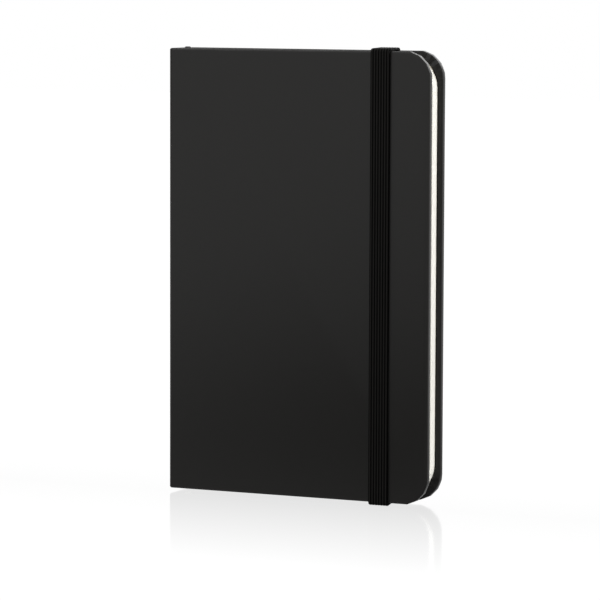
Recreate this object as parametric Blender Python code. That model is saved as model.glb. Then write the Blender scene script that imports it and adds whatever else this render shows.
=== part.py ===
"""Pocket notebook with hard covers, sewn gatherings, a ribbon bookmark and an elastic closure.

The notebook stands on the tail run of its elastic. +Z runs up the spine, the front cover faces -Y, the
spine is at -X and the fore edge at +X. The origin is under the middle of the box that holds the object.
All lengths are in metres.
"""

import math

import bmesh
import bpy
from mathutils import Vector

MM = 0.001

# Case: the two covers and the spine
COVER_WIDTH = 89.0 * MM
COVER_HEIGHT = 140.0 * MM
COVER_CORNER_RADIUS = 8.5 * MM
COVER_EDGE_RADIUS = 0.55 * MM
SKIN = 0.4 * MM
TURN_IN = 0.3 * MM
TURN_IN_WIDTH = 12.0 * MM
BOARD = 1.3 * MM
PASTEDOWN = 0.15 * MM
PASTEDOWN_MARGIN = 3.0 * MM
SPINE_STRIP = 1.0 * MM
SPINE_LINING = 0.2 * MM
SPINE_LINING_MARGIN = 8.0 * MM

# Book block
SQUARE = 1.8 * MM
BLOCK_CORNER_RADIUS = 9.5 * MM
GATHERING_COUNT = 10
TURNING_GATHERINGS = 5
GATHERING = 0.64 * MM
FOLD_RADIUS = 0.25 * MM
FLYLEAF = 0.15 * MM
THREAD = 0.25 * MM
THREAD_LENGTH = 5.0 * MM
THREAD_COUNT = 4
HEAD_BAND_RADIUS = 0.6 * MM
HEAD_BAND_TAPE = 6.0 * MM

# Ribbon bookmark
RIBBON = 0.25 * MM
RIBBON_WIDTH = 4.0 * MM
RIBBON_FROM_BAND = 0.6 * MM
RIBBON_RISE = 0.4 * MM
RIBBON_SLOPE = 6.0 * MM
RIBBON_TUCK = 9.0 * MM

# Elastic closure
ELASTIC = 0.8 * MM
ELASTIC_WIDTH = 6.3 * MM
ELASTIC_FROM_FORE_EDGE = 16.25 * MM
ELASTIC_SKEW = 2.5 * MM  # how much nearer the spine the band is on the back cover
ELASTIC_END = 0.3 * MM
ELASTIC_END_LENGTH = 16.0 * MM
SLOT_FROM_EDGE = 15.0 * MM
SLOT_CLEARANCE = 0.3 * MM

# Clearances
LAYER_GAP = 0.1 * MM
LEAF_GAP = 0.08 * MM
HINGE_GAP = 0.5 * MM
HINGE_FROM_SPINE_FACE = 0.3 * MM
HINGE_FROM_COVER_FACE = 0.5 * MM

ARC_STEPS = 10
OVERSHOOT = 5.0 * MM

# Levels across the thickness, counted outwards from the middle opening
MIDDLE_GAP = RIBBON + 2 * LAYER_GAP
HALF_GATHERINGS = GATHERING_COUNT // 2
HALF_BLOCK = MIDDLE_GAP / 2 + HALF_GATHERINGS * GATHERING + (HALF_GATHERINGS - 1) * LEAF_GAP
FLYLEAF_IN = HALF_BLOCK + LEAF_GAP
PASTEDOWN_IN = FLYLEAF_IN + FLYLEAF + LAYER_GAP
TURN_IN_IN = PASTEDOWN_IN + PASTEDOWN + LAYER_GAP
BOARD_IN = TURN_IN_IN + TURN_IN + LAYER_GAP
BOARD_OUT = BOARD_IN + BOARD
SKIN_IN = BOARD_OUT + LAYER_GAP
COVER_FACE = SKIN_IN + SKIN
ELASTIC_IN = COVER_FACE + LAYER_GAP
ELASTIC_OUT = ELASTIC_IN + ELASTIC

# Levels along the width, from the spine face to the fore edge
SPINE_FACE = -COVER_WIDTH / 2
FORE_EDGE = COVER_WIDTH / 2
STRIP_OUT = SPINE_FACE + SKIN + LAYER_GAP
STRIP_IN = STRIP_OUT + SPINE_STRIP
LINING_OUT = STRIP_IN + LAYER_GAP
LINING_IN = LINING_OUT + SPINE_LINING
THREAD_OUT = LINING_IN + LAYER_GAP
THREAD_IN = THREAD_OUT + THREAD
FOLD = THREAD_IN + LAYER_GAP
COVER_LEFT = SPINE_FACE + SKIN + HINGE_GAP
BLOCK_FORE = FORE_EDGE - SQUARE
ELASTIC_X = FORE_EDGE - ELASTIC_FROM_FORE_EDGE
ELASTIC_BACK_X = ELASTIC_X - ELASTIC_SKEW

# Levels up the height
TAIL = ELASTIC + LAYER_GAP
HEAD = TAIL + COVER_HEIGHT
BLOCK_TAIL = TAIL + SQUARE
BLOCK_HEAD = HEAD - SQUARE

# Hinge lines, one on each side of the spine
HINGE_X = SPINE_FACE + HINGE_FROM_SPINE_FACE
HINGE_Y = COVER_FACE - HINGE_FROM_COVER_FACE


def clear_scene():
    for old in list(bpy.data.objects):
        bpy.data.objects.remove(old, do_unlink=True)


def material(name, colour, roughness, metallic=0.0):
    made = bpy.data.materials.new(name)
    made.use_nodes = True
    shader = made.node_tree.nodes["Principled BSDF"]
    shader.inputs["Base Color"].default_value = (*colour, 1.0)
    shader.inputs["Roughness"].default_value = roughness
    shader.inputs["Metallic"].default_value = metallic
    made.diffuse_color = (*colour, 1.0)
    return made


def add_object(name, mesh_builder, look, parent=None):
    mesh = bpy.data.meshes.new(name)
    bmesh.ops.recalc_face_normals(mesh_builder, faces=mesh_builder.faces[:])
    mesh_builder.to_mesh(mesh)
    mesh_builder.free()
    if look:
        mesh.materials.append(look)
    made = bpy.data.objects.new(name, mesh)
    bpy.context.scene.collection.objects.link(made)
    if parent:
        made.parent = parent
        made.location = -parent.location
    return made


def axis_empty(name, x, y):
    """An empty at the tail end of a joint's axis, which the pieces that move with it are parented to."""
    empty = bpy.data.objects.new(name, None)
    empty.location = (x, y, TAIL)
    empty.empty_display_size = 10 * MM
    bpy.context.scene.collection.objects.link(empty)
    return empty


def corner_arc(centre, radius, start):
    """Points of a quarter circle in a 2-D outline, from the angle start, counter-clockwise."""
    points = []
    for step in range(ARC_STEPS + 1):
        angle = start + math.pi / 2 * step / ARC_STEPS
        points.append((centre[0] + radius * math.cos(angle), centre[1] + radius * math.sin(angle)))
    return points


def fore_edge_outline(left, right, low, high, radius):
    """A rectangle in x and z whose two corners at the fore edge are round."""
    outline = [(left, low)]
    outline += corner_arc((right - radius, low + radius), radius, -math.pi / 2)
    outline += corner_arc((right - radius, high - radius), radius, 0.0)
    outline.append((left, high))
    return outline


def box_outline(left, right, low, high):
    return [(left, low), (right, low), (right, high), (left, high)]


def extruded(points, travel):
    """A closed prism: the flat polygon through points, swept along the vector travel."""
    shape = bmesh.new()
    face = shape.faces.new([shape.verts.new(point) for point in points])
    swept = bmesh.ops.extrude_face_region(shape, geom=[face])
    moved = [item for item in swept["geom"] if isinstance(item, bmesh.types.BMVert)]
    bmesh.ops.translate(shape, verts=moved, vec=travel)
    return shape


def plate(outline, y_start, y_end):
    """A sheet lying in x and z, between two levels of y."""
    points = [(x, y_start, z) for x, z in outline]
    return extruded(points, Vector((0.0, y_end - y_start, 0.0)))


def bar_across(outline, width):
    """A bar along the thickness, with its outline in x and z and its middle at y = 0."""
    return plate(outline, -width / 2, width / 2)


def strap(outline, front_x=ELASTIC_X, back_x=ELASTIC_X):
    """A run of the elastic: its outline is in y and z, and its width runs along x, round a middle line
    that goes from front_x at the front of the band to back_x at its back."""
    points = []
    for y, z in outline:
        share = (y + ELASTIC_OUT) / (2 * ELASTIC_OUT)
        middle = front_x + share * (back_x - front_x)
        points.append((middle - ELASTIC_WIDTH / 2, y, z))
    return extruded(points, Vector((ELASTIC_WIDTH, 0.0, 0.0)))


def soften(made, angle=math.radians(35)):
    made.data.shade_smooth()
    made.data.set_sharp_from_angle(angle=angle)


def cutter(name, mesh_builder, parent):
    made = add_object(name, mesh_builder, None, parent)
    made.hide_render = True
    made.display_type = "WIRE"
    return made


def combine(made, other, operation):
    modifier = made.modifiers.new(other.name, "BOOLEAN")
    modifier.operation = operation
    modifier.solver = "EXACT"
    modifier.object = other


def cover_slots(made, side, hinge):
    """The two slots in the back cover that the ends of the elastic pass through."""
    half_width = ELASTIC_WIDTH / 2 + SLOT_CLEARANCE
    for end, middle in (("head", HEAD - SLOT_FROM_EDGE), ("tail", TAIL + SLOT_FROM_EDGE)):
        half_height = ELASTIC / 2 + SLOT_CLEARANCE
        outline = box_outline(
            ELASTIC_BACK_X - half_width,
            ELASTIC_BACK_X + half_width,
            middle - half_height,
            middle + half_height,
        )
        shape = plate(outline, side * (TURN_IN_IN - LAYER_GAP / 2), side * (COVER_FACE + OVERSHOOT))
        combine(made, cutter(f"cut_{made.name}_{end}_slot", shape, hinge), "DIFFERENCE")


def cover_skin(name, side, look, hinge):
    """The covering sheet: one face, its wrap over three edges, and the turn-ins on the inner side."""
    outline = fore_edge_outline(COVER_LEFT, FORE_EDGE, TAIL, HEAD, COVER_CORNER_RADIUS)
    shape = plate(outline, side * COVER_FACE, side * TURN_IN_IN)
    face_level = side * COVER_FACE
    left_limit = COVER_LEFT + OVERSHOOT

    def on_rim(point):
        return abs(point.y - face_level) < LAYER_GAP / 2

    def rim_edge(edge):
        on_face = all(on_rim(vert.co) for vert in edge.verts)
        return on_face and max(vert.co.x for vert in edge.verts) > left_limit

    rim = [edge for edge in shape.edges if rim_edge(edge)]
    bmesh.ops.bevel(shape, geom=rim, offset=COVER_EDGE_RADIUS, segments=3, profile=0.5, affect="EDGES")
    made = add_object(name, shape, look, hinge)

    wall = SKIN
    pocket_outline = fore_edge_outline(
        COVER_LEFT - OVERSHOOT, FORE_EDGE - wall, TAIL + wall, HEAD - wall, COVER_CORNER_RADIUS - wall
    )
    pocket = plate(pocket_outline, side * SKIN_IN, side * (TURN_IN_IN + TURN_IN))
    combine(made, cutter(f"cut_{name}_pocket", pocket, hinge), "DIFFERENCE")

    window_outline = box_outline(
        COVER_LEFT - OVERSHOOT, FORE_EDGE - TURN_IN_WIDTH, TAIL + TURN_IN_WIDTH, HEAD - TURN_IN_WIDTH
    )
    window = plate(window_outline, side * BOARD_OUT, side * (TURN_IN_IN - OVERSHOOT))
    combine(made, cutter(f"cut_{name}_window", window, hinge), "DIFFERENCE")
    soften(made)
    return made


def cover_board(name, side, look, hinge):
    inset = SKIN + LAYER_GAP
    outline = fore_edge_outline(
        COVER_LEFT + LAYER_GAP, FORE_EDGE - inset, TAIL + inset, HEAD - inset, COVER_CORNER_RADIUS - inset
    )
    made = add_object(name, plate(outline, side * BOARD_OUT, side * BOARD_IN), look, hinge)
    soften(made)
    return made


def pastedown(name, side, look, hinge):
    outline = fore_edge_outline(
        COVER_LEFT + PASTEDOWN_MARGIN,
        FORE_EDGE - PASTEDOWN_MARGIN,
        TAIL + PASTEDOWN_MARGIN,
        HEAD - PASTEDOWN_MARGIN,
        COVER_CORNER_RADIUS - PASTEDOWN_MARGIN,
    )
    inner = side * PASTEDOWN_IN
    outer = side * (PASTEDOWN_IN + PASTEDOWN)
    made = add_object(name, plate(outline, outer, inner), look, hinge)
    soften(made)
    return made


def spine_skin(look):
    """The covering sheet over the spine, folded over the strip at head and tail."""
    face = plate(box_outline(SPINE_FACE, SPINE_FACE + SKIN, TAIL, HEAD), -COVER_FACE, COVER_FACE)

    def on_outer_corner(point):
        return point.x < SPINE_FACE + SKIN / 2

    def long_edge(edge):
        low, high = (vert.co for vert in edge.verts)
        upright = abs(low.z - high.z) > COVER_HEIGHT / 2
        return upright and on_outer_corner(low)

    corners = [edge for edge in face.edges if long_edge(edge)]
    bmesh.ops.bevel(face, geom=corners, offset=SKIN * 0.6, segments=3, profile=0.5, affect="EDGES")
    made = add_object("spine_skin", face, look)
    for end, edge_z, inward in (("head", HEAD, -1), ("tail", TAIL, 1)):
        low, high = sorted((edge_z, edge_z + inward * SKIN))
        outline = box_outline(SPINE_FACE + SKIN / 2, STRIP_IN, low, high)
        fold = bar_across(outline, 2 * PASTEDOWN_IN)
        combine(made, cutter(f"join_spine_skin_{end}", fold, None), "UNION")
    soften(made)


def spine_strip(look):
    inset = SKIN + LAYER_GAP
    outline = box_outline(STRIP_OUT, STRIP_IN, TAIL + inset, HEAD - inset)
    add_object("spine_strip", bar_across(outline, 2 * PASTEDOWN_IN), look)


def spine_lining(look):
    outline = box_outline(
        LINING_OUT, LINING_IN, BLOCK_TAIL + SPINE_LINING_MARGIN, BLOCK_HEAD - SPINE_LINING_MARGIN
    )
    add_object("spine_lining", bar_across(outline, 2 * HALF_BLOCK), look)


def sewing_threads(look):
    """The stitches that cross the folds, one flat run at each sewing station."""
    free = BLOCK_HEAD - BLOCK_TAIL - 2 * (SPINE_LINING_MARGIN + THREAD_LENGTH)
    for index in range(THREAD_COUNT):
        middle = BLOCK_TAIL + SPINE_LINING_MARGIN + THREAD_LENGTH + free * index / (THREAD_COUNT - 1)
        outline = box_outline(
            THREAD_OUT, THREAD_IN, middle - THREAD_LENGTH / 2, middle + THREAD_LENGTH / 2
        )
        shape = bar_across(outline, 2 * (HALF_BLOCK - FOLD_RADIUS))
        add_object(f"sewing_thread_{index + 1}", shape, look)


def end_band(name, block_edge, outward, look):
    """A round bead over the end of the folds, on a tape that is glued down behind them."""
    bead_x = FOLD + HEAD_BAND_RADIUS
    bead_z = block_edge + outward * (LAYER_GAP + HEAD_BAND_RADIUS)
    outline = [(THREAD_OUT, block_edge - outward * HEAD_BAND_TAPE)]
    outline.append((THREAD_IN, block_edge - outward * HEAD_BAND_TAPE))
    outline.append((THREAD_IN, block_edge + outward * LAYER_GAP))
    turn = math.pi * 1.5
    for step in range(2 * ARC_STEPS + 1):
        angle = -math.pi / 2 + turn * step / (2 * ARC_STEPS)
        x = bead_x + HEAD_BAND_RADIUS * math.cos(angle)
        outline.append((x, bead_z + outward * HEAD_BAND_RADIUS * math.sin(angle)))
    outline.append((THREAD_OUT, bead_z))
    made = add_object(name, bar_across(outline, 2 * (HALF_BLOCK - FOLD_RADIUS)), look)
    soften(made)


def fold_only(shape):
    """The two upright edges at the fold of a gathering."""
    edges = []
    for edge in shape.edges:
        at_fold = all(vert.co.x < FOLD + LAYER_GAP for vert in edge.verts)
        upright = abs(edge.verts[0].co.z - edge.verts[1].co.z) > SQUARE
        if at_fold and upright:
            edges.append(edge)
    return edges


def gathering(index, look, hinge):
    """Gathering number index, counted from the front cover, as one stack of folded sheets."""
    outline = fore_edge_outline(FOLD, BLOCK_FORE, BLOCK_TAIL, BLOCK_HEAD, BLOCK_CORNER_RADIUS)
    from_middle = HALF_GATHERINGS - index if index < HALF_GATHERINGS else index - HALF_GATHERINGS + 1
    side = -1 if index < HALF_GATHERINGS else 1
    inner = MIDDLE_GAP / 2 + (from_middle - 1) * (GATHERING + LEAF_GAP)
    shape = plate(outline, side * (inner + GATHERING), side * inner)
    bmesh.ops.bevel(
        shape, geom=fold_only(shape), offset=FOLD_RADIUS, segments=2, profile=0.5, affect="EDGES"
    )
    made = add_object(f"gathering_{index + 1:02d}", shape, look, hinge)
    soften(made)


def flyleaf(name, side, look, hinge):
    outline = fore_edge_outline(FOLD, BLOCK_FORE, BLOCK_TAIL, BLOCK_HEAD, BLOCK_CORNER_RADIUS)
    shape = plate(outline, side * (FLYLEAF_IN + FLYLEAF), side * FLYLEAF_IN)
    soften(add_object(name, shape, look, hinge))


def ribbon_bookmark(look):
    """A flat ribbon in the middle opening: it comes over the head band and hangs between the leaves."""
    band_right = FOLD + 2 * HEAD_BAND_RADIUS
    left = band_right + RIBBON_FROM_BAND
    right = left + RIBBON_WIDTH
    low = BLOCK_TAIL + RIBBON_TUCK
    high = HEAD + RIBBON_RISE
    band_top = BLOCK_HEAD + LAYER_GAP + 2 * HEAD_BAND_RADIUS + LAYER_GAP
    radius = high - band_top
    outline = [(left, low), (right, low), (right, BLOCK_HEAD - RIBBON_SLOPE)]
    outline += corner_arc((left, high - radius), radius, 0.0)
    outline += corner_arc((FOLD + radius, high - radius), radius, math.pi / 2)
    outline.append((left, band_top))
    soften(add_object("ribbon_bookmark", bar_across(outline, RIBBON), look))


def elastic_end_run(name, cover_edge, outward, look, slide):
    """The run that crosses the head or the tail, from the front run to the back cover."""
    near = cover_edge + outward * LAYER_GAP
    far = near + outward * ELASTIC
    radius = ELASTIC
    outline = [(-ELASTIC_OUT, near), (ELASTIC_OUT, near)]
    for centre, start in ((ELASTIC_OUT - radius, 0.0), (radius - ELASTIC_OUT, math.pi / 2)):
        for y, z in corner_arc((centre, 0.0), radius, start):
            outline.append((y, far - outward * radius + outward * z))
    unique = [point for index, point in enumerate(outline) if math.dist(point, outline[index - 1]) > 1e-7]
    soften(add_object(name, strap(unique, back_x=ELASTIC_BACK_X), look, slide))


def elastic_front_run(look, slide):
    outline = [(-ELASTIC_OUT, TAIL), (-ELASTIC_IN, TAIL), (-ELASTIC_IN, HEAD), (-ELASTIC_OUT, HEAD)]
    add_object("elastic_front_run", strap(outline), look, slide)


def elastic_anchor(name, cover_edge, inward, look, hinge):
    """The end of the elastic: down the back face, in through its slot, and glued flat inside the cover."""
    start = cover_edge
    slot = cover_edge + inward * SLOT_FROM_EDGE
    near = slot - inward * ELASTIC / 2
    far = slot + inward * ELASTIC / 2
    end = far + inward * ELASTIC_END_LENGTH
    end_out = BOARD_IN - LAYER_GAP
    end_in = end_out - ELASTIC_END
    outline = [
        (ELASTIC_IN, start),
        (ELASTIC_OUT, start),
        (ELASTIC_OUT, far),
        (end_out, far),
        (end_out, end),
        (end_in, end),
        (end_in, near),
        (ELASTIC_IN, near),
    ]
    add_object(name, strap(outline, ELASTIC_BACK_X, ELASTIC_BACK_X), look, hinge)


def build():
    clear_scene()

    skin_look = material("leatherette_skin", (0.022, 0.021, 0.020), 0.45)
    board_look = material("greyboard", (0.30, 0.28, 0.25), 0.9)
    endpaper_look = material("endpaper", (0.80, 0.76, 0.66), 0.8)
    paper_look = material("page_paper", (0.88, 0.85, 0.76), 0.85)
    gauze_look = material("spine_gauze", (0.75, 0.73, 0.68), 0.95)
    thread_look = material("linen_thread", (0.82, 0.80, 0.74), 0.8)
    band_look = material("band_cloth", (0.05, 0.05, 0.05), 0.8)
    ribbon_look = material("ribbon_satin", (0.16, 0.16, 0.16), 0.5)
    elastic_look = material("elastic_weave", (0.012, 0.012, 0.012), 0.75)

    front_hinge = axis_empty("front_hinge_axis", HINGE_X, -HINGE_Y)
    back_hinge = axis_empty("back_hinge_axis", HINGE_X, HINGE_Y)
    elastic_slide = axis_empty("elastic_slide_axis", ELASTIC_X, 0.0)

    cover_skin("front_cover_skin", -1, skin_look, front_hinge)
    cover_board("front_board", -1, board_look, front_hinge)
    pastedown("front_pastedown", -1, endpaper_look, front_hinge)

    back_skin = cover_skin("back_cover_skin", 1, skin_look, back_hinge)
    back_board = cover_board("back_board", 1, board_look, back_hinge)
    cover_slots(back_skin, 1, back_hinge)
    cover_slots(back_board, 1, back_hinge)
    pastedown("back_pastedown", 1, endpaper_look, back_hinge)

    spine_skin(skin_look)
    spine_strip(board_look)
    spine_lining(gauze_look)
    sewing_threads(thread_look)
    end_band("head_band", BLOCK_HEAD, 1, band_look)
    end_band("tail_band", BLOCK_TAIL, -1, band_look)

    flyleaf("front_flyleaf", -1, endpaper_look, front_hinge)
    flyleaf("back_flyleaf", 1, endpaper_look, None)
    for index in range(GATHERING_COUNT):
        gathering(index, paper_look, front_hinge if index < TURNING_GATHERINGS else None)
    ribbon_bookmark(ribbon_look)

    elastic_front_run(elastic_look, elastic_slide)
    elastic_end_run("elastic_head_run", HEAD, 1, elastic_look, elastic_slide)
    elastic_end_run("elastic_tail_run", TAIL, -1, elastic_look, elastic_slide)
    elastic_anchor("elastic_head_anchor", HEAD, -1, elastic_look, back_hinge)
    elastic_anchor("elastic_tail_anchor", TAIL, 1, elastic_look, back_hinge)


build()
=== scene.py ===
"""Looks of a pocket notebook: leatherette case, sewn cream pages, ribbon and elastic closure.

Everything is in metres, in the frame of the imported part: +Z up the spine, the front cover towards -Y,
the spine towards -X and the fore edge towards +X.
"""

import math

import bmesh
import bpy
from mathutils import Matrix, Quaternion, Vector


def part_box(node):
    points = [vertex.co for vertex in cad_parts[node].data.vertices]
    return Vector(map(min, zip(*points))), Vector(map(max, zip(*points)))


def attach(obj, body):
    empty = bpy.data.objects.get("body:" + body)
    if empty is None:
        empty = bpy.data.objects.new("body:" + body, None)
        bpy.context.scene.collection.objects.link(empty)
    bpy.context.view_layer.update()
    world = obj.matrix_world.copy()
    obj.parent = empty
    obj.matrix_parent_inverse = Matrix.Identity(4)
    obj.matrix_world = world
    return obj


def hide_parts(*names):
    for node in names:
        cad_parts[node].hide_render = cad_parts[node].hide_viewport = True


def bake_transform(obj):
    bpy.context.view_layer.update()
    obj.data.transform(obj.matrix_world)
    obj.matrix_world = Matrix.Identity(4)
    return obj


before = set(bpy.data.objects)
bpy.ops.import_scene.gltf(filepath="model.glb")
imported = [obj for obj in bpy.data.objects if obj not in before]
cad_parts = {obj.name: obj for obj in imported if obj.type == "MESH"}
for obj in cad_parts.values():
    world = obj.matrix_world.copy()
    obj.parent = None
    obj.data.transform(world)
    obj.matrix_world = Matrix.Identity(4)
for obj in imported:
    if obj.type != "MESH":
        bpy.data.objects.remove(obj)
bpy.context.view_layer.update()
MM = 0.001


# The case leatherette
# One sheet of black polyurethane leatherette is glued over the boards and folded in round their edges.
# Each half is made whole: half of the spine, the bend, the cover face, its rolled edges and the
# turn-ins, which are gathered into pleats at the two round corners.

LEATHER = 0.36 * MM
SPINE_BEND = 1.2 * MM
ROLL = 0.6 * MM
INNER_ROLL = 0.4 * MM
TURN_IN = 7.5 * MM
CORNER = 8.5 * MM
PLEATS = 8
PLEAT_RISE = 0.34 * MM
PLEAT_BULGE = 0.16 * MM
BEND_ARC = 8
ROLL_ARC = 5
INNER_ROLL_ARC = 3
LEATHER_SMOOTH = 20.0
FOLD_WIDTH = 0.83 * MM
FOLD_LEAN = 0.131 * MM  # how far the fold leans to the cover, kept in fold_end
ELASTIC = 0.8 * MM
SLOT_IN = 15.0 * MM
SLOT_EASE = 0.6 * MM
SLOT_ROUNDING = 0.3 * MM
PUNCH_DEPTH = 8.0 * MM
SPINE_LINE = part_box("spine_skin")[0].x
NEAR = 0.02 * MM
UPWARDS = (0.0, 0.0, 1.0)
BACKWARDS = (0.0, 1.0, 0.0)
FOREWARDS = (1.0, 0.0, 0.0)


def start_piece(name, kind, **settings):
    """Adds a primitive with nothing else selected, gives it its name and opens it in edit mode."""
    bpy.ops.object.select_all(action="DESELECT")
    getattr(bpy.ops.mesh, f"primitive_{kind}_add")(**settings)
    made = bpy.context.object
    made.name = name
    made.data.name = name
    bpy.ops.object.transform_apply(location=True, rotation=True, scale=True)
    bpy.ops.object.mode_set(mode="EDIT")
    return made


def start_sheet(name, left, right, low, high, y=0.0):
    """A flat sheet that stands upright and faces the front or the back."""
    middle = ((left + right) / 2, y, (low + high) / 2)
    upright = (math.pi / 2, 0.0, 0.0)
    made = start_piece(name, "plane", size=1.0, location=middle, rotation=upright)
    size = (right - left, 1.0, high - low)
    bpy.ops.transform.resize(value=size, center_override=middle)
    return made


def pick(kind, wanted):
    """Selects the vertices, edges or faces of the mesh being edited that pass wanted(item)."""
    bpy.ops.mesh.select_mode(type=kind)
    bpy.ops.mesh.select_all(action="DESELECT")
    mesh = bpy.context.object.data
    shape = bmesh.from_edit_mesh(mesh)
    for item in {"VERT": shape.verts, "EDGE": shape.edges, "FACE": shape.faces}[kind]:
        if wanted(item):
            item.select_set(True)
    shape.select_flush_mode()
    bmesh.update_edit_mesh(mesh)


def edge_at(edge, axis, level):
    return all(abs(vert.co[axis] - level) < NEAR for vert in edge.verts)


def extend(x=0.0, y=0.0, z=0.0):
    bpy.ops.mesh.extrude_region_move(TRANSFORM_OT_translate={"value": (x, y, z)})


def swing(angle, centre, axis, steps):
    """Spins what is selected by a right-handed angle. The spin operator turns the other way."""
    bpy.ops.mesh.spin(steps=steps, angle=-math.radians(angle), center=centre, axis=axis)


def round_fore_corners(fore, radius, segments):
    pick("VERT", lambda vert: abs(vert.co.x - fore) < NEAR)
    bpy.ops.mesh.bevel(offset=radius, segments=segments, affect="VERTICES")


def close_up(piece, modifiers=(), angle=40.0, facing=None):
    """Leaves edit mode, applies the modifiers in order, and shades the piece smooth up to an angle.
    facing is the way that the largest face of an open sheet has to look before it gets its thickness."""
    bpy.ops.mesh.select_all(action="SELECT")
    bpy.ops.mesh.normals_make_consistent(inside=False)
    largest = max(bmesh.from_edit_mesh(piece.data).faces, key=lambda item: item.calc_area())
    if facing and largest.normal.dot(Vector(facing)) < 0.0:
        bpy.ops.mesh.flip_normals()
    bpy.ops.object.mode_set(mode="OBJECT")
    for kind, settings in modifiers:
        modifier = piece.modifiers.new(kind.lower(), kind)
        for name, value in settings.items():
            setattr(modifier, name, value)
        bpy.ops.object.modifier_apply(modifier=modifier.name)
    bpy.ops.object.shade_smooth_by_angle(angle=math.radians(angle))


class Value:
    """One output of a material's node. Sums written with it add the Math nodes that work them out."""

    def __init__(self, finish, socket):
        self.finish = finish
        self.socket = socket

    def sum_of(self, operation, first, second=0.0):
        return self.finish.node("ShaderNodeMath", {"operation": operation}, {0: first, 1: second})

    def __add__(self, other):
        return self.sum_of("ADD", self, other)

    def __radd__(self, other):
        return self.sum_of("ADD", other, self)

    def __sub__(self, other):
        return self.sum_of("SUBTRACT", self, other)

    def __rsub__(self, other):
        return self.sum_of("SUBTRACT", other, self)

    def __mul__(self, other):
        return self.sum_of("MULTIPLY", self, other)

    def __rmul__(self, other):
        return self.sum_of("MULTIPLY", other, self)

    def __truediv__(self, other):
        return self.sum_of("DIVIDE", self, other)

    def __pow__(self, other):
        return self.sum_of("POWER", self, other)

    def __abs__(self):
        return self.sum_of("ABSOLUTE", self)

    def wave(self):
        return self.sum_of("SINE", self)

    def step_down(self):
        return self.sum_of("FLOOR", self)

    def held(self):
        """The value kept between 0 and 1."""
        return self.sum_of("MINIMUM", self.sum_of("MAXIMUM", self, 0.0), 1.0)


class Finish:
    """A material whose colour, roughness and relief are worked out by nodes."""

    def __init__(self, name, roughness=0.5, specular=0.5):
        self.material = bpy.data.materials.new(name)
        self.material.use_nodes = True
        self.nodes = self.material.node_tree.nodes
        self.links = self.material.node_tree.links
        self.shader = self.nodes["Principled BSDF"]
        self.shader.inputs["Roughness"].default_value = roughness
        self.shader.inputs["Specular IOR Level"].default_value = specular
        self.place = self.node("ShaderNodeTexCoord", output="Object")

    def node(self, kind, settings=None, sockets=None, output=0):
        """Adds any node: its settings first, then its sockets."""
        made = self.nodes.new(kind)
        for name, value in (settings or {}).items():
            setattr(made, name, value)
        for name, value in (sockets or {}).items():
            self.feed(made.inputs[name], value)
        return Value(self, made.outputs[output])

    def feed(self, socket, value):
        if isinstance(value, Value):
            self.links.new(value.socket, socket)
        elif socket.type == "RGBA":
            socket.default_value = (*value, 1.0)
        else:
            socket.default_value = value

    def axis(self, letter):
        return self.node("ShaderNodeSeparateXYZ", {}, {0: self.place}, output=letter)

    def noise(self, scale, detail=3.0, roughness=0.5, vector=None):
        sockets = {"Vector": vector or self.place, "Scale": scale}
        sockets.update({"Detail": detail, "Roughness": roughness})
        return self.node("ShaderNodeTexNoise", {}, sockets)

    def cells(self, scale):
        return self.node("ShaderNodeTexVoronoi", {}, {"Vector": self.place, "Scale": scale})

    def stretched(self, x=1.0, y=1.0, z=1.0):
        return self.node("ShaderNodeMapping", {}, {"Vector": self.place, "Scale": (x, y, z)})

    def blended(self, share, first, second):
        sockets = {0: share, 6: first, 7: second}
        return self.node("ShaderNodeMix", {"data_type": "RGBA"}, sockets, output=2)

    def colour(self, value):
        self.feed(self.shader.inputs["Base Color"], value)

    def roughness(self, value):
        self.feed(self.shader.inputs["Roughness"], value)

    def relief(self, height, depth, strength=1.0):
        sockets = {"Height": height, "Distance": depth, "Strength": strength}
        bump = self.node("ShaderNodeBump", {}, sockets, output="Normal")
        self.feed(self.shader.inputs["Normal"], bump)

    def put_on(self, piece):
        piece.data.materials.clear()
        piece.data.materials.append(self.material)


LEATHER_COLOUR = (0.0055, 0.0050, 0.0042)
WORN_COLOUR = (0.022, 0.018, 0.014)
GRAIN = 2600.0
CREASES = 420.0


def leather_finish():
    """Calendered polyurethane: shallow pebbles, a few creases, and slight wear on the spine's edges."""
    finish = Finish("black_leatherette", specular=0.36)
    pebbles = finish.cells(GRAIN)
    creases = finish.noise(CREASES, detail=5.0, roughness=0.6)
    clouds = finish.noise(35.0, detail=2.0)
    spine_edge = (SPINE_LINE + 1.1 * MM - finish.axis("X")) / (0.9 * MM)
    wear = (spine_edge.held() * (0.35 + 0.9 * creases)).held()
    finish.colour(finish.blended(wear * 0.8, LEATHER_COLOUR, WORN_COLOUR))
    finish.roughness((0.34 + 0.06 * clouds + 0.1 * pebbles * creases).held())
    finish.relief(pebbles * 0.6 + creases * 0.8, 0.03 * MM, 0.5)
    return finish


def pleat_number(vert, centre_x, middle, corner_z):
    """How many pleat steps a point has gone round its fore corner, or nothing off the corner."""
    across = vert.co.x - centre_x
    up = abs(vert.co.z - middle) - corner_z
    if across < NEAR or up < NEAR or math.hypot(across, up) < CORNER / 2:
        return None
    return math.atan2(up, across) / (math.pi / 2) * PLEATS


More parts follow.
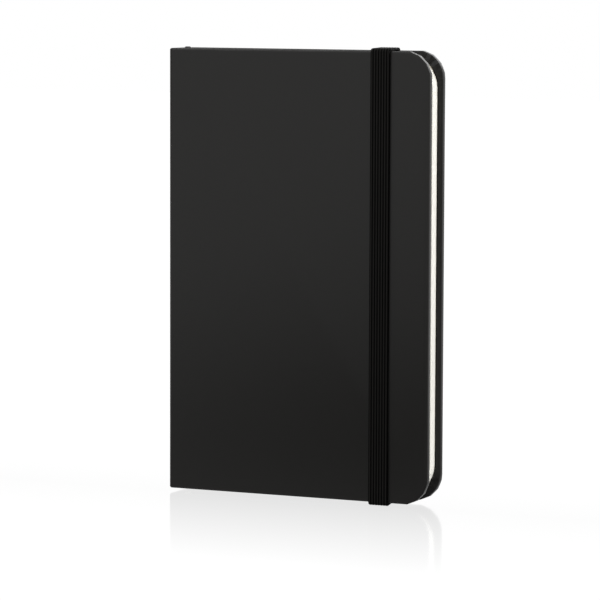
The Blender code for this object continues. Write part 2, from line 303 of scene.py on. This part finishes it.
def case_half(name, cad_skin, side):
    """Half of the case: side is -1 for the front cover and 1 for the back cover."""
    low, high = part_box(cad_skin)
    face, inner = (low.y, high.y) if side < 0 else (high.y, low.y)
    left = SPINE_LINE + SPINE_BEND
    middle = (low.z + high.z) / 2
    bend_centre = (left, face - side * SPINE_BEND, 0.0)

    piece = start_sheet(name, left, high.x, low.z, high.z, face)
    round_fore_corners(high.x, CORNER, PLEATS)
    pick("FACE", lambda item: True)
    extend(y=inner - face)
    bpy.ops.mesh.inset(thickness=TURN_IN, use_even_offset=True)
    bpy.ops.mesh.delete(type="FACE")
    pick("FACE", lambda item: abs(item.normal.x) > 0.9 and item.calc_center_median().x < left + NEAR)
    bpy.ops.mesh.delete(type="FACE")
    pick("FACE", lambda item: abs(item.normal.y) > 0.9 and item.calc_center_median().x < left + TURN_IN
         and abs(item.calc_center_median().z - middle) < MM)
    bpy.ops.mesh.delete(type="FACE")
    pick("VERT", lambda vert: abs(vert.co.x - left - TURN_IN) < NEAR and abs(vert.co.y - inner) < NEAR)
    bpy.ops.transform.translate(value=(-TURN_IN, 0.0, 0.0))

    pick("EDGE", lambda edge: edge_at(edge, 1, face) and not edge_at(edge, 0, left))
    bpy.ops.mesh.bevel(offset=ROLL, segments=ROLL_ARC, affect="EDGES")
    pick("EDGE", lambda edge: edge_at(edge, 1, inner) and len(edge.link_faces) == 2
         and any(abs(item.normal.y) < 0.1 for item in edge.link_faces))
    bpy.ops.mesh.bevel(offset=INNER_ROLL, segments=INNER_ROLL_ARC, affect="EDGES")

    corner_z = (high.z - low.z) / 2 - CORNER
    for vert in bmesh.from_edit_mesh(piece.data).verts:
        number = pleat_number(vert, high.x - CORNER, middle, corner_z)
        if number is not None and abs(vert.co.y - face) > ROLL / 2 and round(number) % 2:
            outward = Vector((vert.co.x - high.x + CORNER, 0.0, vert.co.z - middle)).normalized()
            vert.co += outward * PLEAT_BULGE
            if abs(vert.co.y - inner) < INNER_ROLL + NEAR:
                vert.co.y -= side * PLEAT_RISE

    pick("EDGE", lambda edge: edge_at(edge, 0, left)
         and all(abs(vert.co.y - face) < ROLL + NEAR for vert in edge.verts))
    swing(side * 90.0, bend_centre, UPWARDS, BEND_ARC)
    extend(y=-bend_centre[1])
    wall = ("SOLIDIFY", {"thickness": LEATHER, "offset": -1.0})
    close_up(piece, [wall], LEATHER_SMOOTH, (0.0, side, 0.0))
    leatherette.put_on(piece)
    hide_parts(cad_skin)
    return piece


def cut_slots(piece):
    """Punches the two slits that the elastic goes in through."""
    for anchor, edge, inward in (("elastic_head_anchor", 1, -1), ("elastic_tail_anchor", 0, 1)):
        low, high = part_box(anchor)
        cover_edge = (low.z, high.z)[edge]
        middle = ((low.x + high.x) / 2, high.y - ELASTIC, cover_edge + inward * SLOT_IN)
        size = (high.x - low.x + SLOT_EASE, PUNCH_DEPTH, ELASTIC + SLOT_EASE)
        punch = start_piece("punch", "cube", size=1.0, location=middle)
        bpy.ops.transform.resize(value=size, center_override=middle)
        pick("EDGE", lambda item: abs(item.verts[0].co.y - item.verts[1].co.y) > MM)
        bpy.ops.mesh.bevel(offset=SLOT_ROUNDING, segments=3, affect="EDGES")
        bpy.ops.object.mode_set(mode="OBJECT")
        bpy.ops.object.select_all(action="DESELECT")
        bpy.context.view_layer.objects.active = piece
        slit = piece.modifiers.new("slit", "BOOLEAN")
        slit.object = punch
        slit.solver = "EXACT"
        bpy.ops.object.modifier_apply(modifier=slit.name)
        bpy.data.objects.remove(punch)


leatherette = leather_finish()
front_leather = case_half("front_leather", "front_cover_skin", -1)
back_leather = case_half("back_leather", "back_cover_skin", 1)
cut_slots(back_leather)
fold_left = SPINE_LINE + ROLL + LEATHER
fold_right = fold_left + FOLD_WIDTH
for half, cover, side in ((front_leather, "front_cover", -1), (back_leather, "back_cover", 1)):
    fold_end = (fold_right, side * FOLD_LEAN, 0.0)
    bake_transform(half)


# The spine's turn-ins
# At the head and the tail the same leatherette is folded in over the spine strip and glued down on
# its inner side, between the two boards.

SPINE_FOLD = 0.6 * MM
FOLD_DOWN = 9.0 * MM
FOLD_LAYER = 0.3 * MM


def spine_turn_in(name, cover_edge, inward):
    """The fold over one end of the strip: a short top, a quarter turn, and a tab down the inner side."""
    strip_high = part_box("spine_strip")[1]
    inside = strip_high.x + FOLD_LAYER + 2 * NEAR
    half_width = strip_high.y
    top_left = SPINE_LINE + ROLL
    bend = (inside - SPINE_FOLD, 0.0, cover_edge + inward * SPINE_FOLD)
    middle = ((top_left + bend[0]) / 2, 0.0, cover_edge)
    piece = start_piece(name, "plane", size=1.0, location=middle)
    size = (bend[0] - top_left, 2 * half_width, 1.0)
    bpy.ops.transform.resize(value=size, center_override=middle)
    pick("EDGE", lambda edge: edge_at(edge, 0, bend[0]))
    swing(-inward * 90.0, bend, BACKWARDS, 6)
    extend(z=inward * FOLD_DOWN)
    bpy.ops.mesh.bevel(offset=MM, segments=3, affect="VERTICES")
    close_up(piece, [("SOLIDIFY", {"thickness": FOLD_LAYER, "offset": -1.0})], facing=FOREWARDS)
    leatherette.put_on(piece)
    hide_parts("spine_skin")
    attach(piece, "book_block")


cover_low, cover_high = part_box("front_cover_skin")
spine_turn_in("spine_head_turn_in", cover_high.z, -1)
spine_turn_in("spine_tail_turn_in", cover_low.z, 1)


# Boards and spine strip
# Two panels of grey pulp board and a narrow strip of the same stiffen the case. They are cut by
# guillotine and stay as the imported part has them.

GREYBOARD = (0.23, 0.215, 0.19)
GREYBOARD_FLECK = (0.12, 0.11, 0.095)
PULP_FIBRE = 900.0
PLIES = 9000.0


def greyboard_finish():
    finish = Finish("pulp_greyboard", roughness=0.9, specular=0.2)
    fibres = finish.noise(PULP_FIBRE, detail=6.0, roughness=0.65, vector=finish.stretched(x=0.4))
    layers = (finish.axis("Y") * PLIES + 3.0 * fibres).wave() * 0.5 + 0.5
    finish.colour(finish.blended((fibres * 1.2 - 0.2 + 0.2 * layers).held(), GREYBOARD_FLECK, GREYBOARD))
    finish.relief(fibres, 0.05 * MM, 0.6)
    return finish


greyboard = greyboard_finish()
for name in ("front_board", "back_board", "spine_strip"):
    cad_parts[name].material_slots[0].material = greyboard.material


# Spine lining and sewing
# A strip of open gauze is glued down the sewn folds, and linen thread shows as four short stitches
# that tie the gatherings to each other.

GAUZE = (0.72, 0.69, 0.60)
GLUE = (0.42, 0.37, 0.26)
LINEN = (0.80, 0.76, 0.66)
GAUZE_MESH = 5200.0
LINEN_TWIST = 14000.0
# TWIST_SHADE darkens the thread in the grooves of its twist: painted shade.
TWIST_SHADE = 0.6


def gauze_finish():
    finish = Finish("lining_gauze", roughness=0.85, specular=0.2)
    weft = (finish.axis("Y") * GAUZE_MESH).wave() ** 2.0
    warp = (finish.axis("Z") * GAUZE_MESH).wave() ** 2.0
    threads = weft + warp
    weave = (threads * 0.6).held()
    finish.colour(finish.blended(weave, GLUE, GAUZE))
    finish.relief(weave + 0.3 * finish.noise(3000.0), 0.06 * MM)
    return finish


def linen_finish():
    finish = Finish("linen_thread", roughness=0.7, specular=0.3)
    twist = ((finish.axis("Z") + finish.axis("Y")) * LINEN_TWIST).wave() * 0.5 + 0.5
    # Darker where the twist's relief is low: painted shade between the plies.
    shade = twist * 0.7 + 0.3 * finish.noise(6000.0)
    finish.colour(finish.blended(shade, tuple(TWIST_SHADE * part for part in LINEN), LINEN))
    finish.relief(twist, 0.04 * MM)
    return finish


gauze = gauze_finish()
linen = linen_finish()
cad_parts["spine_lining"].material_slots[0].material = gauze.material
for name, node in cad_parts.items():
    if name.startswith("sewing_thread"):
        node.material_slots[0].material = linen.material


# Sewn pages
# The block is ten gatherings of four folded cream sheets, sewn through their folds. Each sheet is one
# thin piece with its fold at the spine and its fore corners cut round with the whole block.

PAPER = 0.068 * MM
SHEETS = 4
PAGE_CORNER = 9.5 * MM
CORNER_ARC = 8
GATHERINGS = 10
TURNING = 5
FOLD_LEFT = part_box("gathering_01")[0].x
BEND_AT = 0.5 * MM
BEND_LENGTH = 9.0 * MM
BEND_STEPS = 12
CREAM = (0.985, 0.972, 0.915)
CREAM_SHADE = (0.955, 0.935, 0.865)
LEAF_STEP = 0.08 * MM
PAPER_FIBRE = 1500.0


def paper_finish():
    """Uncoated cream paper: short fibres, and each leaf's edge a little lighter or darker."""
    finish = Finish("cream_paper", roughness=0.82, specular=0.25)
    leaf = (finish.axis("Y") / LEAF_STEP).step_down()
    tone = finish.node("ShaderNodeTexWhiteNoise", {"noise_dimensions": "1D"}, {"W": leaf})
    fibres = finish.noise(PAPER_FIBRE, detail=5.0, roughness=0.6)
    clouds = finish.noise(60.0)
    shade = (tone * 0.35 + fibres * 0.35 + clouds * 0.3).held()
    finish.colour(finish.blended(shade, CREAM_SHADE, CREAM))
    finish.relief(fibres, 0.02 * MM, 0.5)
    return finish


def bend_lines(start, length, steps):
    """Cuts lines across a sheet where it bends when the book is opened."""
    for step in range(steps + 1):
        bpy.ops.mesh.select_all(action="SELECT")
        place = (start + length * step / steps, 0.0, 0.0)
        bpy.ops.mesh.bisect(plane_co=place, plane_no=(1.0, 0.0, 0.0))


def folded_sheet(index, low, high):
    """One folded sheet of a gathering, from the innermost outwards, lying round y = 0."""
    out = LEAF_STEP * (index + 0.5)
    fold_centre = FOLD_LEFT + LEAF_STEP * SHEETS
    piece = start_sheet(f"sheet_{index}", fold_centre, high.x, low.z, high.z, out)
    round_fore_corners(high.x, PAGE_CORNER, CORNER_ARC)
    bend_lines(FOLD_LEFT + BEND_AT, BEND_LENGTH, BEND_STEPS)
    pick("EDGE", lambda edge: edge_at(edge, 0, fold_centre))
    swing(90.0, (fold_centre, 0.0, 0.0), UPWARDS, 4)
    mirror = {"use_axis": (False, True, False), "merge_threshold": NEAR / 4}
    close_up(piece, [("MIRROR", mirror), ("SOLIDIFY", {"thickness": PAPER, "offset": 0.0})])
    return piece


def signature(low, high):
    sheets = [folded_sheet(index, low, high) for index in range(SHEETS)]
    bpy.ops.object.select_all(action="DESELECT")
    for sheet in sheets:
        sheet.select_set(True)
    bpy.context.view_layer.objects.active = sheets[0]
    bpy.ops.object.join()
    return sheets[0]


cream = paper_finish()
block_low, block_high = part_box("gathering_01")
master = signature(block_low, block_high)
cream.put_on(master)
for number in range(1, GATHERINGS + 1):
    gathering = f"gathering_{number:02d}"
    low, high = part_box(gathering)
    pages = master.copy()
    pages.data = master.data.copy()
    pages.name = f"signature_{number:02d}"
    pages.data.name = pages.name
    bpy.context.scene.collection.objects.link(pages)
    pages.data.transform(Matrix.Translation((0.0, (low.y + high.y) / 2, 0.0)))
    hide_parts(gathering)
    if number <= TURNING:
        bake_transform(pages)
    else:
        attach(pages, "book_block")
bpy.data.objects.remove(master)


# Endpapers
# A folded sheet of heavier cream paper at each end: one half is pasted to the inside of the cover
# over the turn-ins, and the other is the free flyleaf, tipped on to the first gathering.

ENDPAPER = 0.13 * MM
GUTTER = 2.4 * MM
PASTEDOWN_CORNER = 5.0 * MM
LEAF_BEND = BEND_AT + BEND_LENGTH
ENDPAPER_LIGHT = (0.88, 0.84, 0.73)
ENDPAPER_SHADE = (0.78, 0.73, 0.61)
ENDPAPER_FIBRE = 1100.0


def endpaper(name, cad_node, turning, bend_length, corner):
    """One half of a folded endpaper, cut across where it bends. Without a turning body it stays with the
    block.
    """
    low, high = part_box(cad_node)
    y = (low.y + high.y) / 2
    piece = start_sheet(name, FOLD_LEFT, high.x, low.z, high.z, y)
    round_fore_corners(high.x, corner, CORNER_ARC)
    bend_lines(FOLD_LEFT, bend_length, BEND_STEPS)
    close_up(piece, [("SOLIDIFY", {"thickness": ENDPAPER, "offset": 0.0})])
    cream_endpaper.put_on(piece)
    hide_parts(cad_node)
    if turning:
        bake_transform(piece)
    else:
        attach(piece, "book_block")


def endpaper_finish():
    finish = Finish("cream_endpaper", roughness=0.8, specular=0.25)
    fibres = finish.noise(ENDPAPER_FIBRE, detail=6.0, roughness=0.62)
    clouds = finish.noise(45.0, detail=2.0)
    shade = (fibres * 0.5 + clouds * 0.5).held()
    finish.colour(finish.blended(shade, ENDPAPER_SHADE, ENDPAPER_LIGHT))
    finish.relief(fibres, 0.025 * MM, 0.6)
    return finish


cream_endpaper = endpaper_finish()
endpaper("front_pastedown_paper", "front_pastedown", "front_cover", GUTTER, PASTEDOWN_CORNER)
endpaper("back_pastedown_paper", "back_pastedown", "back_cover", GUTTER, PASTEDOWN_CORNER)
endpaper("front_flyleaf_paper", "front_flyleaf", "front_leaf", LEAF_BEND, PAGE_CORNER)
endpaper("back_flyleaf_paper", "back_flyleaf", None, LEAF_BEND, PAGE_CORNER)


# Head and tail bands
# A cord wound with black and cream silk is sewn on a cloth tape and glued to the folds at each end of
# the spine, so that it covers the ends of the gatherings.

BAND_RADIUS = 0.5 * MM
BEADS = 14
BAND_TAPE = 0.12 * MM
BAND_OFFSET = 0.45 * MM
BEAD = (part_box("head_band")[1].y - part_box("head_band")[0].y) / BEADS
BEAD_SWELL = (1.25, 1.0, 0.8)
SILK_BLACK = (0.02, 0.02, 0.02)
SILK_CREAM = (0.78, 0.74, 0.64)
# TAPE_SHADE sits in the hollows of the weave: painted shade.
TAPE_LIGHT = (0.74, 0.71, 0.63)
TAPE_SHADE = (0.50, 0.47, 0.40)
TAPE_WEAVE = 9000.0


def band_finish():
    finish = Finish("wound_silk_band", roughness=0.5, specular=0.35)
    turns = (finish.axis("Y") * (2 * math.pi / BEAD) + finish.axis("X") * 3000.0).wave() * 0.5 + 0.5
    strands = (finish.axis("Y") * (10 * math.pi / BEAD)).wave() * 0.5 + 0.5
    finish.colour(finish.blended((turns * 5.0 - 2.0).held(), SILK_BLACK, SILK_CREAM))
    finish.relief(strands + 0.4 * finish.noise(5000.0), 0.04 * MM, 0.6)
    return finish


def end_band(name, cad_node, outward):
    """A beaded cord across the spine, grown bead by bead, with its tape down the folds."""
    low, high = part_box(cad_node)
    cord_z = high.z - BAND_RADIUS if outward > 0 else low.z + BAND_RADIUS
    centre = (low.x + BAND_OFFSET + BAND_RADIUS, low.y, cord_z)
    across = (math.pi / 2, 0.0, 0.0)
    piece = start_piece(name, "circle", vertices=12, radius=0.8 * BAND_RADIUS, fill_type="NGON",
                        location=centre, rotation=across)
    y = low.y
    for bead in range(BEADS):
        for growth in BEAD_SWELL:
            y += BEAD / len(BEAD_SWELL)
            extend(y=BEAD / len(BEAD_SWELL))
            axis_point = (centre[0], y, cord_z)
            bpy.ops.transform.resize(value=(growth, 1.0, growth), center_override=axis_point)
    close_up(piece, [("SUBSURF", {"levels": 1, "render_levels": 1})])
    tape_low, tape_high = (low.z, cord_z) if outward > 0 else (cord_z, high.z)
    tape_x = low.x + BAND_TAPE
    middle = (tape_x, 0.0, (tape_low + tape_high) / 2)
    sideways = (0.0, math.pi / 2, 0.0)
    tape = start_piece(name + "_tape", "plane", size=1.0, location=middle, rotation=sideways)
    size = (1.0, high.y - low.y, tape_high - tape_low)
    bpy.ops.transform.resize(value=size, center_override=middle)
    pick("EDGE", lambda edge: edge_at(edge, 2, cord_z))
    extend(x=0.5 * MM, z=outward * 0.2 * MM)
    close_up(tape, [("SOLIDIFY", {"thickness": BAND_TAPE, "offset": 0.0})])
    silk.put_on(piece)
    tape_cloth.put_on(tape)
    for part in (piece, tape):
        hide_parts(cad_node)
        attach(part, "book_block")


def tape_finish():
    finish = Finish("band_tape", roughness=0.85, specular=0.2)
    weave = ((finish.axis("Y") * TAPE_WEAVE).wave() * (finish.axis("Z") * TAPE_WEAVE).wave()) * 0.5 + 0.5
    # Darker where the weave's relief is low: painted shade in the weave.
    finish.colour(finish.blended(weave, TAPE_SHADE, TAPE_LIGHT))
    finish.relief(weave, 0.03 * MM)
    return finish


silk = band_finish()
tape_cloth = tape_finish()
end_band("head_band_cord", "head_band", 1)
end_band("tail_band_cord", "tail_band", -1)


# Ribbon bookmark
# A narrow satin ribbon is glued to the spine under the lining. It folds over the head band and hangs
# between the middle leaves, where it ends in a slanted cut.

RIBBON = 0.16 * MM
RIBBON_WIDTH = 4.0 * MM
RIBBON_FOLDED = 0.8 * MM
RIBBON_SLANT = 1.6 * MM
RIBBON_GATHER = 6.0 * MM
GATHER_STEPS = 6
# SATIN_SHADE sits between the raised threads: painted shade.
SATIN_LIGHT = (0.09, 0.09, 0.095)
SATIN_SHADE = (0.035, 0.035, 0.037)
SATIN_WARP = 22000.0
SATIN_WEFT = 9000.0


def satin_finish():
    finish = Finish("satin_ribbon", roughness=0.32, specular=0.6)
    warp = (finish.axis("X") * SATIN_WARP).wave() * 0.5 + 0.5
    weft = (finish.axis("Z") * SATIN_WEFT).wave() * 0.5 + 0.5
    # Lighter on the raised warp and weft, darker between them: painted shade in the weave.
    shade = (warp * 0.6 + weft * 0.25 + 0.3 * finish.noise(900.0)).held()
    finish.colour(finish.blended(shade, SATIN_SHADE, SATIN_LIGHT))
    finish.roughness((0.28 + 0.2 * warp).held())
    finish.relief(warp + 0.5 * weft, 0.02 * MM, 0.7)
    return finish


def ribbon_piece():
    low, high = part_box("ribbon_bookmark")
    left = high.x - RIBBON_WIDTH
    slope_foot = block_high.z - RIBBON_GATHER
    turn_z = high.z - RIBBON_FOLDED
    piece = start_sheet("ribbon", left, high.x, low.z, slope_foot)
    pick("VERT", lambda vert: abs(vert.co.z - low.z) < NEAR and vert.co.x > left + NEAR)
    bpy.ops.transform.translate(value=(0.0, 0.0, RIBBON_SLANT))
    pick("EDGE", lambda edge: edge_at(edge, 2, slope_foot))
    for step in range(GATHER_STEPS):
        extend(z=(turn_z - slope_foot) / GATHER_STEPS)
        wide = RIBBON_WIDTH + (RIBBON_FOLDED - RIBBON_WIDTH) * step / GATHER_STEPS
        narrow = RIBBON_WIDTH + (RIBBON_FOLDED - RIBBON_WIDTH) * (step + 1) / GATHER_STEPS
        z = slope_foot + (turn_z - slope_foot) * (step + 1) / GATHER_STEPS
        bpy.ops.transform.resize(value=(narrow / wide, 1.0, 1.0), center_override=(left, 0.0, z))
    swing(-90.0, (left, 0.0, turn_z), BACKWARDS, 8)
    extend(x=low.x + RIBBON_FOLDED - left)
    swing(-60.0, (low.x + RIBBON_FOLDED, 0.0, turn_z), BACKWARDS, 6)
    close_up(piece, [("SOLIDIFY", {"thickness": RIBBON, "offset": 0.0})])
    satin_finish().put_on(piece)
    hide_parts("ribbon_bookmark")
    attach(piece, "book_block")


ribbon_piece()


# Elastic closure
# One length of flat woven elastic, with seven round ribs, runs from a slot in the back cover over the
# head, down the front and round the tail to a second slot. Its ends are glued inside the back cover.

RIBS = 7
RIB_RISE = 0.1 * MM
LOOP = 0.42 * MM
ELASTIC_BEND = 0.9 * MM
SLOT_BEND = 0.75 * MM
INNER_BEND = 0.4 * MM
ELASTIC_END = 0.3 * MM
TURN_ARC = 8
RUN_STEPS = 16
RIB_FULLNESS = 0.8
ELASTIC_FUZZ = 5200.0
# Painted shade in the grooves between the ribs, and a painted highlight on the rib tops.
ELASTIC_GROOVE_PAINTED_SHADE = (0.0003, 0.0003, 0.0003)
ELASTIC_RIB_PAINTED_HIGHLIGHT = (0.0190, 0.0182, 0.0170)


def elastic_finish():
    """Covered rubber: each rib is a row of small knitted loops, dull black, with a painted highlight on
    the rib tops and painted shade in the grooves.
    """
    finish = Finish("black_elastic", roughness=0.7, specular=0.05)
    across = finish.node("ShaderNodeAttribute", {"attribute_name": "across_band"}, output="Fac")
    rib = abs((across * math.pi).wave())
    along = (finish.axis("Z") + finish.axis("Y")) * (2 * math.pi / LOOP)
    loops = (along + 1.6 * (across * (2 * math.pi)).wave()).wave() * 0.5 + 0.5
    fuzz = finish.noise(ELASTIC_FUZZ, detail=4.0)
    # The colour is painted lighter on the rib tops and near black between them: painted highlight and
    # painted shade.
    rib_top_painted_highlight = rib ** 3.0
    shade = (rib_top_painted_highlight * (0.65 + 0.35 * loops) + fuzz * 0.1 - 0.05).held()
    finish.colour(finish.blended(shade, ELASTIC_GROOVE_PAINTED_SHADE, ELASTIC_RIB_PAINTED_HIGHLIGHT))
    finish.relief(rib * 0.8 + loops * 0.35 + fuzz * 0.2, 0.07 * MM)
    return finish


def run_to(x=None, y=None, z=None, steps=1):
    """Draws the selected end of the band straight to a new place, in equal steps."""
    here = end_middle()
    travel = [0.0 if goal is None else (goal - now) / steps for goal, now in zip((x, y, z), here)]
    for step in range(steps):
        extend(*travel)


def end_middle():
    chosen = [vert.co for vert in bmesh.from_edit_mesh(bpy.context.object.data).verts if vert.select]
    return sum(chosen, Vector()) / len(chosen)


def corner(y, z, angle):
    swing(angle, (0.0, y, z), FOREWARDS, TURN_ARC)


def thicken(y=1.0, z=1.0):
    bpy.ops.transform.resize(value=(1.0, y, z), center_override=end_middle())


def elastic_webbing():
    """The band's ribbed section, led from slot to slot round the closed book."""
    head_low, head_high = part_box("elastic_head_anchor")
    tail_low, tail_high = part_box("elastic_tail_anchor")
    middle_line = elastic_high.y - ELASTIC / 2
    head_line = elastic_high.z - ELASTIC / 2
    tail_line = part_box("elastic_tail_run")[0].z + ELASTIC / 2
    slot_head = head_high.z - SLOT_IN
    slot_tail = tail_low.z + SLOT_IN
    end_line = head_low.y + ELASTIC_END / 2
    turn_y = middle_line - ELASTIC_BEND
    out_y = middle_line - SLOT_BEND
    in_y = end_line + INNER_BEND
    front_x = (front_low.x + front_high.x) / 2
    thin = ELASTIC_END / ELASTIC

    middle = ((head_low.x + head_high.x) / 2, end_line, head_low.z)
    piece = start_piece("elastic_webbing", "grid", x_subdivisions=6 * RIBS, y_subdivisions=1, size=1.0,
                        location=middle)
    bpy.ops.transform.resize(value=(head_high.x - head_low.x, ELASTIC, 1.0), center_override=middle)
    section = bmesh.from_edit_mesh(piece.data)
    across = section.verts.layers.float.new("across_band")
    for vert in section.verts:
        vert[across] = (vert.co.x - head_low.x) / (head_high.x - head_low.x) * RIBS
        rise = abs(math.sin(vert[across] * math.pi)) ** RIB_FULLNESS
        vert.co.y -= math.copysign(RIB_RISE * (1.0 - rise), vert.co.y - end_line)
    thicken(y=thin)

    run_to(z=slot_head - INNER_BEND)
    corner(in_y, slot_head - INNER_BEND, -90.0)
    thicken(z=1.0 / thin)
    run_to(y=out_y)
    corner(out_y, slot_head + SLOT_BEND, 90.0)
    run_to(z=head_line - ELASTIC_BEND)
    corner(turn_y, head_line - ELASTIC_BEND, 90.0)
    run_to(x=front_x, y=-turn_y, steps=RUN_STEPS)
    corner(-turn_y, head_line - ELASTIC_BEND, 90.0)
    run_to(z=tail_line + ELASTIC_BEND)
    corner(-turn_y, tail_line + ELASTIC_BEND, 90.0)
    run_to(x=middle[0], y=turn_y, steps=RUN_STEPS)
    corner(turn_y, tail_line + ELASTIC_BEND, 90.0)
    run_to(z=slot_tail - SLOT_BEND)
    corner(out_y, slot_tail - SLOT_BEND, 90.0)
    run_to(y=in_y)
    thicken(z=thin)
    corner(in_y, slot_tail + INNER_BEND, -90.0)
    run_to(z=tail_high.z)
    close_up(piece)
    elastic_finish().put_on(piece)
    runs = ("elastic_front_run", "elastic_head_run", "elastic_tail_run")
    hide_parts(*runs, "elastic_head_anchor", "elastic_tail_anchor")
    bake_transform(piece)


elastic_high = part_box("elastic_head_run")[1]
front_low, front_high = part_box("elastic_front_run")
elastic_webbing()


# Studio
# The notebook stands on a white light table in a soft white room that is dark on one side. Three large
# soft lights stand high on the left, past the fore edge and behind. None of it belongs to the object.

LENS = 212.9
CAMERA_AZIMUTH = 24.35
CAMERA_ELEVATION = 5.50
CAMERA_ROLL = 0.21
CAMERA_DISTANCE = 1.1076
AIM = Vector((SPINE_LINE + 45.75 * MM, cover_low.y, cover_low.z + 62.11 * MM))
WHITE = (1.0, 1.0, 1.0)
TABLE_SIZE = 6.0
TABLE_GLOW = 1.05
# UNLIT_SPOT, UNLIT_RADIUS and UNLIT_EDGE place a painted shadow in the table's glow, seen only in
# reflections.
UNLIT_SPOT = (0.10, -0.20, 0.0)
UNLIT_RADIUS = 0.14
UNLIT_EDGE = 0.30
SHINE = 0.27
SHINE_REACH = 130.0 * MM
ROOM_FLAG = (("From Min", -0.88), ("From Max", -0.62), ("To Min", 0.02), ("To Max", 0.8))
LIGHTS = (  # name, place, size, watts, and whether the leather mirrors it
    ("high_left_light", (-0.9, -0.9, 1.1), 0.8, 4.0, True),
    ("fore_edge_light", (1.2, 0.15, 0.35), 0.5, 9.0, False),
    ("back_light", (0.13, 1.4, 0.75), 0.9, 6.0, True),
)


def light_table():
    """The floor: a glowing white sheet with a faint gloss that fades away from the book's foot; for all
    but camera rays its glow is painted darker round a spot in front of the book, a painted shadow that
    the leather reflects.
    """
    table = start_piece("light_table", "plane", size=TABLE_SIZE)
    bpy.ops.mesh.subdivide(number_cuts=1)
    bpy.ops.object.mode_set(mode="OBJECT")
    finish = Finish("light_table")
    ends = {0: finish.place, 1: UNLIT_SPOT}
    shaded = finish.node("ShaderNodeVectorMath", {"operation": "DISTANCE"}, ends, output="Value")
    seen = finish.node("ShaderNodeLightPath", output="Is Camera Ray")
    # Painted shadow: for all but camera rays the glow is dimmed round UNLIT_SPOT.
    level = TABLE_GLOW - (1.0 - seen) * (1.0 - ((shaded - UNLIT_RADIUS) / UNLIT_EDGE).held())
    glow = finish.node("ShaderNodeEmission", {}, {"Color": WHITE, "Strength": level})
    gloss = finish.node("ShaderNodeBsdfAnisotropic", {}, {"Color": WHITE, "Roughness": 0.1})
    away = (abs(finish.axis("Y") - cover_low.y) / SHINE_REACH).held()
    shine = finish.node("ShaderNodeMixShader", {}, {0: SHINE * (1.0 - away), 1: glow, 2: gloss})
    output = finish.nodes["Material Output"]
    finish.feed(output.inputs["Surface"], shine)
    finish.put_on(table)


def soft_light(name, place, size, watts, mirrored):
    """A square lamp. One that is not mirrored lights the paper without a highlight on the leather."""
    lamp = bpy.data.lights.new(name, "AREA")
    lamp.energy = watts
    lamp.size = size
    stand = bpy.data.objects.new(name, lamp)
    stand.location = place
    stand.visible_glossy = mirrored
    stand.rotation_mode = "QUATERNION"
    stand.rotation_quaternion = (AIM - Vector(place)).to_track_quat("-Z", "Y")
    bpy.context.scene.collection.objects.link(stand)


def white_room():
    """White behind the object, a slightly dimmer soft white round it, and a dark flag on the left."""
    world = bpy.data.worlds.new("white_room")
    bpy.context.scene.world = world
    world.use_nodes = True
    nodes = world.node_tree.nodes
    links = world.node_tree.links
    backdrop = nodes["Background"]
    backdrop.inputs["Color"].default_value = (*WHITE, 1.0)
    room = nodes.new("ShaderNodeBackground")
    room.inputs["Color"].default_value = (*WHITE, 1.0)
    heading = nodes.new("ShaderNodeTexCoord")
    parts = nodes.new("ShaderNodeSeparateXYZ")
    links.new(heading.outputs["Generated"], parts.inputs[0])
    flag = nodes.new("ShaderNodeMapRange")
    flag.interpolation_type = "SMOOTHSTEP"
    for socket, value in ROOM_FLAG:
        flag.inputs[socket].default_value = value
    links.new(parts.outputs["X"], flag.inputs["Value"])
    links.new(flag.outputs["Result"], room.inputs["Strength"])
    seen = nodes.new("ShaderNodeLightPath")
    either = nodes.new("ShaderNodeMixShader")
    links.new(seen.outputs["Is Camera Ray"], either.inputs[0])
    links.new(room.outputs[0], either.inputs[1])
    links.new(backdrop.outputs[0], either.inputs[2])
    links.new(either.outputs[0], nodes["World Output"].inputs["Surface"])


def camera():
    azimuth = math.radians(CAMERA_AZIMUTH)
    elevation = math.radians(CAMERA_ELEVATION)
    level = math.cos(elevation)
    back = Vector((math.sin(azimuth) * level, -math.cos(azimuth) * level, math.sin(elevation)))
    lens = bpy.data.cameras.new("camera")
    lens.lens = LENS
    lens.sensor_width = 36.0
    lens.clip_start = 0.05
    lens.clip_end = 20.0
    stand = bpy.data.objects.new("camera", lens)
    stand.location = AIM + back * CAMERA_DISTANCE
    stand.rotation_mode = "QUATERNION"
    roll = Quaternion((0.0, 0.0, 1.0), math.radians(CAMERA_ROLL))
    stand.rotation_quaternion = (-back).to_track_quat("-Z", "Y") @ roll
    bpy.context.scene.collection.objects.link(stand)
    bpy.context.scene.camera = stand


light_table()
white_room()
for light in LIGHTS:
    soft_light(*light)
camera()
bpy.context.scene.view_settings.view_transform = "Standard"
